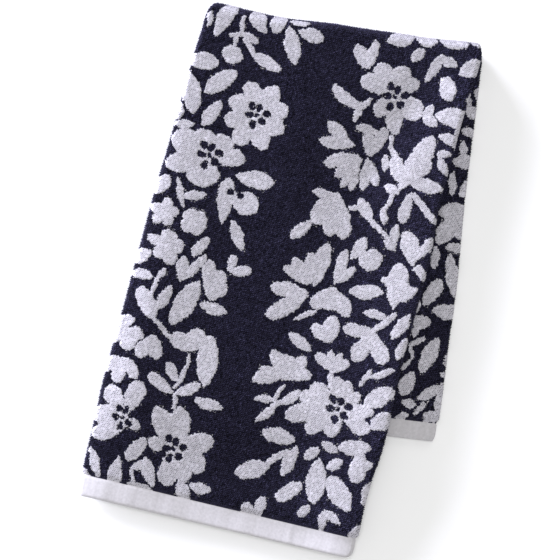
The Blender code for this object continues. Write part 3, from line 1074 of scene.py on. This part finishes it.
# ---- The pile: a skin of loops, each raised over two by two faces, laid like bricks ----

# Each row covers a stretch of the cloth and is cut into pieces. Its loops are a pitch apart, and
# low, high and most are how far its pits, its loops and the tallest loops stand over the cloth's
# middle, all in mm. Out of sight the loops are coarser, and no higher than the terry.
Pile = collections.namedtuple("Pile", "name u0 u1 along0 along1 pitch low high most cuts")
PILES = (
    Pile("pile_front", -120, 120, 16.4, 440, 1.5, 0.65, 1.75, 2.0, 2),
    Pile("pile_back_right", 104.5, 172, 440, 743.1, 1.5, 0.65, 1.6, 1.85, 1),
    Pile("pile_back_under", -120, 104.5, 440, 743.1, 2.8, 0.65, 1.45, 1.5, 1),
    Pile("pile_flap_left", -225.3, -120, 16.4, 743.1, 3.0, 0.65, 1.45, 1.5, 1),
    Pile("pile_flap_right", 120, 225.3, 16.4, 440, 3.0, 0.65, 1.45, 1.5, 1),
    Pile("pile_back_middle", 172, 225.3, 440, 743.1, 3.0, 0.65, 1.45, 1.5, 1),
)
RISE_SPREAD = 0.2 * MM
DEEPER_MOST = 0.125 * MM  # how far the deepest pits may go below the others
EDGE_RISE = 0.4 * MM  # how high the skin is at its edges, and within what reach of them it falls
SIDE_FALL = 1.4 * MM
END_FALL = 5 * MM
PALE_FILL = 0.65  # how much higher the pale pile stands between its loops, in mm
PALE_CALM = 0.8  # how much more even it is
LEAN = 0.14  # how far a loop leans, as a share of the pitch
STRAY = 0.08  # how far a loop's colour strays over an outline, as a share of the pitch
SEED = 41

# Towards the front half's right edge, where its slope faces the key lamps, its navy is painted lighter:
# a painted sheen
PAINTED_SHEEN_START = 25 * MM
PAINTED_SHEEN_REACH = 50 * MM
PAINTED_SHEEN_LIGHTER = 0.4

# Over the fold across the strip the pale pile is painted darker: painted shade
FOLD_PAINTED_SHADE = 0.38
FOLD_SHADE_START = 3 * MM
FOLD_SHADE_REACH = 9 * MM

PIT_DEPTH_MOST = 1.2  # how dark a pit's painted shade may go, against an even one

# How light the yarn is painted on top of its loops, at their sides and in the pits between them:
# painted highlights on the tops and painted shade in the pits. Then how uneven the pits are, and how
# much the loops differ
Yarn = collections.namedtuple("Yarn", "top side pit uneven spread")
NAVY_YARN = Yarn(top=3.0, side=0.12, pit=0.12, uneven=0, spread=0.30)
PALE_YARN = Yarn(top=1.06, side=0.98, pit=0.20, uneven=0.75, spread=0.07)


def edge_fall(distance, reach):
    """0 at a skin's edge, where it goes down into the ground weave, and 1 past its reach."""
    return smooth(distance / reach) ** 0.5


def corner_means(faces):
    """The mean of the faces that meet at each corner of their grid."""
    wide = np.pad(faces.astype(float), 1, mode="edge")
    return (wide[:-1, :-1] + wide[:-1, 1:] + wide[1:, :-1] + wide[1:, 1:]) / 4


def at_corners(grid):
    """A grid's values at the four corners of each face."""
    return np.stack([grid[:-1, :-1], grid[:-1, 1:], grid[1:, 1:], grid[1:, :-1]], axis=-1)


def from_crease(u, along):
    """How far a point of the cloth is from the line where the strip is folded across."""
    return np.abs((along - FRONT_LENGTH) * FOLD_OUT[1] + u * FOLD_OUT[0] - ARC_SLACK)


def loop_points(row, u, along, top, drawn, generator):
    """The skin's points: the tops of its loops, and the low points round them."""
    i, j = np.indices(u.shape)
    inner = (i > 0) & (i < i.max()) & (j > 0) & (j < j.max())
    lean = LEAN * row.pitch * MM
    shift_u = generator.normal(0, lean, u.shape) * inner
    shift_along = generator.normal(0, lean, u.shape) * inner
    paleness = corner_means(drawn)
    calm = 1 - PALE_CALM * paleness
    shift_u *= (1 + calm) / 2
    shift_along *= (1 + calm) / 2
    low = row.low + PALE_FILL * paleness
    rise = np.where(top, row.high, low) * MM + generator.normal(0, RISE_SPREAD, u.shape) * calm
    rise = np.clip(rise, row.low * MM - DEEPER_MOST, row.most * MM)
    to_side = CLOTH_WIDTH / 2 - np.abs(u)
    to_end = past_hem(along) + PILE_LAP
    fall = np.minimum(edge_fall(to_side, SIDE_FALL), edge_fall(to_end, END_FALL))
    rise = EDGE_RISE + (rise - EDGE_RISE) * fall
    return cloth_points(u + shift_u, along + shift_along, rise)


def loop_numbers(shape):
    """Which loop each face belongs to."""
    loop_row, column = np.indices(shape)
    loop_row //= 2
    return loop_row * shape[1] + (column + loop_row % 2) // 2


def yarn_shades(yarn, tone, depth, top, pit):
    """How light a yarn is painted at each corner of each face: painted highlights on its loops' tops,
    painted shade in the pits.
    """
    pits = yarn.top - (yarn.top - yarn.pit) * np.clip(1 + yarn.uneven * depth, 0, PIT_DEPTH_MOST)
    light = np.where(top, yarn.top, np.where(pit, pits, yarn.side))
    return np.exp(tone * yarn.spread)[..., None] * at_corners(light)


def loop_shades(u, along, top, pit, drawn, generator):
    """How light the skin is painted at each corner of each face, by points in the faces' middles: each
    loop's own tone, with painted highlights and painted shade.
    """
    loop = loop_numbers(u.shape)
    tone = generator.normal(0, 1, loop.max() + 1)[loop]
    depth = generator.normal(0, 1, top.shape)
    # A painted sheen: the navy is lighter towards the front half's right edge
    painted_sheen_share = smooth((u - PAINTED_SHEEN_START) / PAINTED_SHEEN_REACH) * (along < FRONT_LENGTH)
    # Painted shade: the pale pile is darker over the fold
    fold_shade_share = 1 - smooth((from_crease(u, along) - FOLD_SHADE_START) / FOLD_SHADE_REACH)
    navy = yarn_shades(NAVY_YARN, tone, depth, top, pit) * (1 + PAINTED_SHEEN_LIGHTER * painted_sheen_share[..., None])
    pale = yarn_shades(PALE_YARN, tone, depth, top, pit) * (1 - FOLD_PAINTED_SHADE * fold_shade_share[..., None])
    return np.where(drawn[..., None], pale, navy)


def build_pile(row, seed, material):
    """The skin's pieces, cut along its length so that each stays small."""
    generator = np.random.default_rng(seed)
    steps_across = 2 * round((row.u1 - row.u0) / row.pitch)
    steps_along = 2 * round((row.along1 - row.along0) / row.pitch)
    u_line = np.linspace(row.u0, row.u1, steps_across + 1) * MM
    along_line = np.linspace(row.along0, row.along1, steps_along + 1) * MM
    along, u = np.meshgrid(along_line, u_line, indexing="ij")
    i, j = np.indices(u.shape)
    top = (i % 2 == 1) & ((j + i // 2) % 2 == 1)
    pit = (i % 2 == 1) & ~top

    middle_u, middle_along = face_middles(u), face_middles(along)
    stray = STRAY * row.pitch * MM
    drawn = pattern(
        middle_u + generator.uniform(-stray, stray, middle_u.shape),
        middle_along + generator.uniform(-stray, stray, middle_u.shape),
    )
    points = loop_points(row, u, along, top, drawn, generator)
    shade = loop_shades(middle_u, middle_along, top, pit, drawn, generator)

    pieces = []
    bounds = np.linspace(0, steps_along, row.cuts + 1).round().astype(int)
    for number, (start, end) in enumerate(zip(bounds[:-1], bounds[1:]), 1):
        name = row.name if row.cuts == 1 else f"{row.name}_{number}"
        kept = slice(start, end + 1)
        faces = quads(end + 1 - start, u.shape[1])
        piece = add_mesh(name, points[kept].reshape(-1, 3), faces, material)
        set_attribute(piece, "pale", "FACE", drawn[start:end])
        set_attribute(piece, "shade", "CORNER", shade[start:end])
        set_uv(piece, faces, u[kept], along[kept])
        pieces.append(piece)
    return pieces


# ---- The stage: floor, light and camera ----

PHOTO_AZIMUTH = math.radians(14.357)
PHOTO_ELEVATION = math.radians(83)
CAMERA_DISTANCE = 1.5
CAMERA_LENS = 119.26  # in mm, with a sensor 36 mm wide
CAMERA_TARGET = Vector((-17.03, -10.77, 5)) * MM

DAYLIGHT = (0.95, 0.955, 1.12)
Lamp = collections.namedtuple("Lamp", "name image_angle elevation distance size power colour")
LAMPS = (
    Lamp("key_high", 125, 9, 6.0, 1.8, 510, DAYLIGHT),
    Lamp("key_middle", 143, 9, 6.0, 1.8, 545, DAYLIGHT),
    Lamp("key_low", 160, 9, 6.0, 1.8, 275, DAYLIGHT),
    Lamp("overhead", 0, 90, 2.0, 1.0, 12.8, (1, 1, 1)),
    Lamp("fill_low", 300, 60, 2.0, 1.0, 7.1, (1, 1, 1)),
    Lamp("fill_high", 60, 30, 2.0, 1.0, 4.9, (1, 1, 1)),
)
WORLD_STRENGTH = 0.4
FLOOR_HALF = 3.0
FLOOR_LEVEL = -0.3 * MM  # lower than the cloth, so that the two don't meet in one plane


def build_floor():
    low, high = -FLOOR_HALF, FLOOR_HALF
    corners = [(low, low), (high, low), (high, high), (low, high)]
    points = np.array([(x, y, FLOOR_LEVEL) for x, y in corners])
    floor = add_mesh("floor", points, np.array([[0, 1, 2, 3]]), floor_material())


def stand(name, data, target, way, distance):
    """Puts a lamp or the camera at a distance from its target, and aims it back along its way."""
    stood = bpy.data.objects.new(name, data)
    stood.location = target + way * distance
    stood.rotation_euler = (-way).to_track_quat("-Z", "Y").to_euler()
    bpy.context.scene.collection.objects.link(stood)
    return stood


def add_lamp(lamp):
    """An area light over the towel. Its image angle turns from the photo's right to its top."""
    angle = math.radians(lamp.image_angle) + PHOTO_AZIMUTH
    elevation = math.radians(lamp.elevation)
    level = math.cos(elevation)
    way = Vector((math.cos(angle) * level, math.sin(angle) * level, math.sin(elevation)))
    data = bpy.data.lights.new(lamp.name, "AREA")
    data.shape = "DISK"
    data.size = lamp.size
    data.energy = lamp.power
    data.color = lamp.colour
    stand(lamp.name, data, Vector(), way, lamp.distance)


def add_camera():
    level = math.cos(PHOTO_ELEVATION)
    way_x, way_y = math.sin(PHOTO_AZIMUTH) * level, -math.cos(PHOTO_AZIMUTH) * level
    way = Vector((way_x, way_y, math.sin(PHOTO_ELEVATION)))
    data = bpy.data.cameras.new("camera")
    data.lens = CAMERA_LENS
    bpy.context.scene.camera = stand("camera", data, CAMERA_TARGET, way, CAMERA_DISTANCE)


def light_world():
    world = bpy.data.worlds.new("studio")
    world.use_nodes = True
    background = world.node_tree.nodes["Background"]
    background.inputs["Color"].default_value = (1, 1, 1, 1)
    background.inputs["Strength"].default_value = WORLD_STRENGTH
    bpy.context.scene.world = world
    bpy.context.scene.view_settings.view_transform = "Standard"
    bpy.context.scene.cycles.denoising_prefilter = "NONE"  # it would smooth the loops away


cloth = build_cloth(cloth_material())
loops = pile_material()
pile = [piece for i, row in enumerate(PILES) for piece in build_pile(row, SEED + i, loops)]
for piece in [cloth, *pile]:
    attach(piece, "root")
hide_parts("towel")

build_floor()
for lamp in LAMPS:
    add_lamp(lamp)
light_world()
add_camera()
